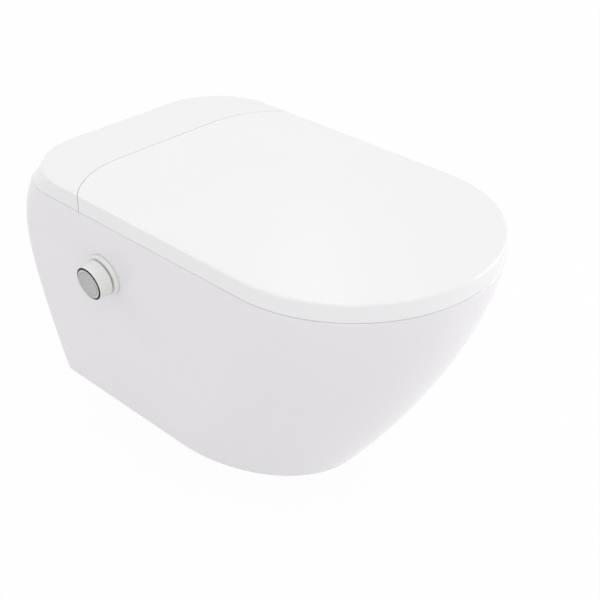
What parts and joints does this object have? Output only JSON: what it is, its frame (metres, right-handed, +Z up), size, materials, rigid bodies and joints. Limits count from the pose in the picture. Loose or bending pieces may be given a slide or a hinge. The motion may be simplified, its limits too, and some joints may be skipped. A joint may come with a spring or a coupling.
{
  "type": "smart toilet",
  "caption": "Wall-hung smart toilet: tapered glazed pan, flush lid over a heated seat, rear unit with a spray arm, and a turn-and-push knob on the side.",
  "frame": {"origin": "middle of the two wall fixing holes, in the wall plane", "axes": "+Z up, +Y into the wall, the user sits towards -Y, +X to the seated user's left"},
  "size_m": [0.3971, 0.608, 0.3578],
  "materials": {
    "white_glaze": "glossy white glaze",
    "lid_white": "smooth white moulding, soft gloss",
    "cover_white": "smooth white moulding, soft gloss",
    "seat_white": "smooth white moulding",
    "soft_grey": "soft matt rubber",
    "seal_black": "matt rubber",
    "hinge_steel": "brushed",
    "zinc_steel": "zinc coated",
    "knob_white": "satin moulding",
    "satin_metal": "fine satin",
    "unit_grey": "fine grain moulding",
    "sleeve_white": "plain moulding",
    "fitting_brass": "machined",
    "coil_red": "resin",
    "tank_steel": "drawn",
    "hose_clear": "silicone",
    "board_green": "laminate",
    "heater_foil": "foil",
    "wand_white": "polished moulding"
  },
  "bodies": {
    "pan": {"ceramic_pan": "white_glaze", "flush_inlet_seal": "seal_black", "fixing_sleeves": "sleeve_white", "deck_gasket": "seal_black", "base_plate": "sleeve_white", "deck_anchors": "sleeve_white", "base_screws": "hinge_steel", "rear_cover": "cover_white", "hinge_posts": "hinge_steel", "hinge_pins": "hinge_steel", "lid_drive": "unit_grey", "lid_drive_motor": "zinc_steel", "lid_damper": "unit_grey", "wand_guide": "unit_grey", "wand_motor": "zinc_steel", "water_inlet_fitting": "fitting_brass", "solenoid_valve": "unit_grey", "solenoid_coil": "coil_red", "flow_heater": "tank_steel", "valve_hose": "hose_clear", "wand_hose": "hose_clear", "power_supply": "unit_grey", "control_box": "unit_grey", "control_box_lid": "unit_grey", "circuit_board": "board_green", "mains_gland": "seal_black", "knob_flange": "knob_white", "knob_encoder": "unit_grey"},
    "seat": {"seat_top_shell": "seat_white", "seat_base_shell": "seat_white", "seat_heater": "heater_foil", "seat_buffers": "soft_grey", "seat_bushes": "sleeve_white"},
    "lid": {"lid_shell": "lid_white", "lid_bushes": "sleeve_white", "lid_buffers": "soft_grey", "lid_drive_shaft": "hinge_steel", "lid_damper_shaft": "hinge_steel"},
    "wand": {"spray_wand": "wand_white", "wand_rack": "wand_white", "nozzle_head": "tank_steel", "wand_shield": "wand_white"},
    "pinion": {"wand_pinion": "sleeve_white"},
    "knob": {"knob_ring": "knob_white", "knob_shaft": "hinge_steel", "knob_dome": "hose_clear"},
    "knob_button": {"knob_cap": "satin_metal"}
  },
  "joints": [
    {"name": "seat_hinge", "type": "hinge", "parent": "pan", "child": "seat", "pos_m": [0, -0.0916, 0.0958], "axis": [1, 0, 0], "range_deg": [-90, 0]},
    {"name": "lid_hinge", "type": "hinge", "parent": "seat", "child": "lid", "pos_m": [0, -0.0916, 0.0958], "axis": [-1, 0, 0], "range_deg": [0, 95]},
    {"name": "wand_slide", "type": "slide", "parent": "pan", "child": "wand", "axis": [0, -0.9511, -0.309], "range_m": [0, 0.085]},
    {"name": "pinion_spin", "type": "hinge", "parent": "pan", "child": "pinion", "pos_m": [0, -0.11829, 0.05047], "axis": [1, 0, 0], "range_deg": [-5, 645]},
    {"name": "knob_turn", "type": "hinge", "parent": "pan", "child": "knob", "pos_m": [-0.1805, -0.181, 0.0025], "axis": [-0.9924, 0, -0.1234], "range_deg": [-135, 135]},
    {"name": "knob_press", "type": "slide", "parent": "knob", "child": "knob_button", "axis": [0.9924, 0, 0.1234], "range_m": [0, 0.002], "stiffness_N_per_m": 900}
  ],
  "couplings": [
    {"joint": "pinion_spin", "follows": "wand_slide", "rad_per_m": 130.9}
  ]
}
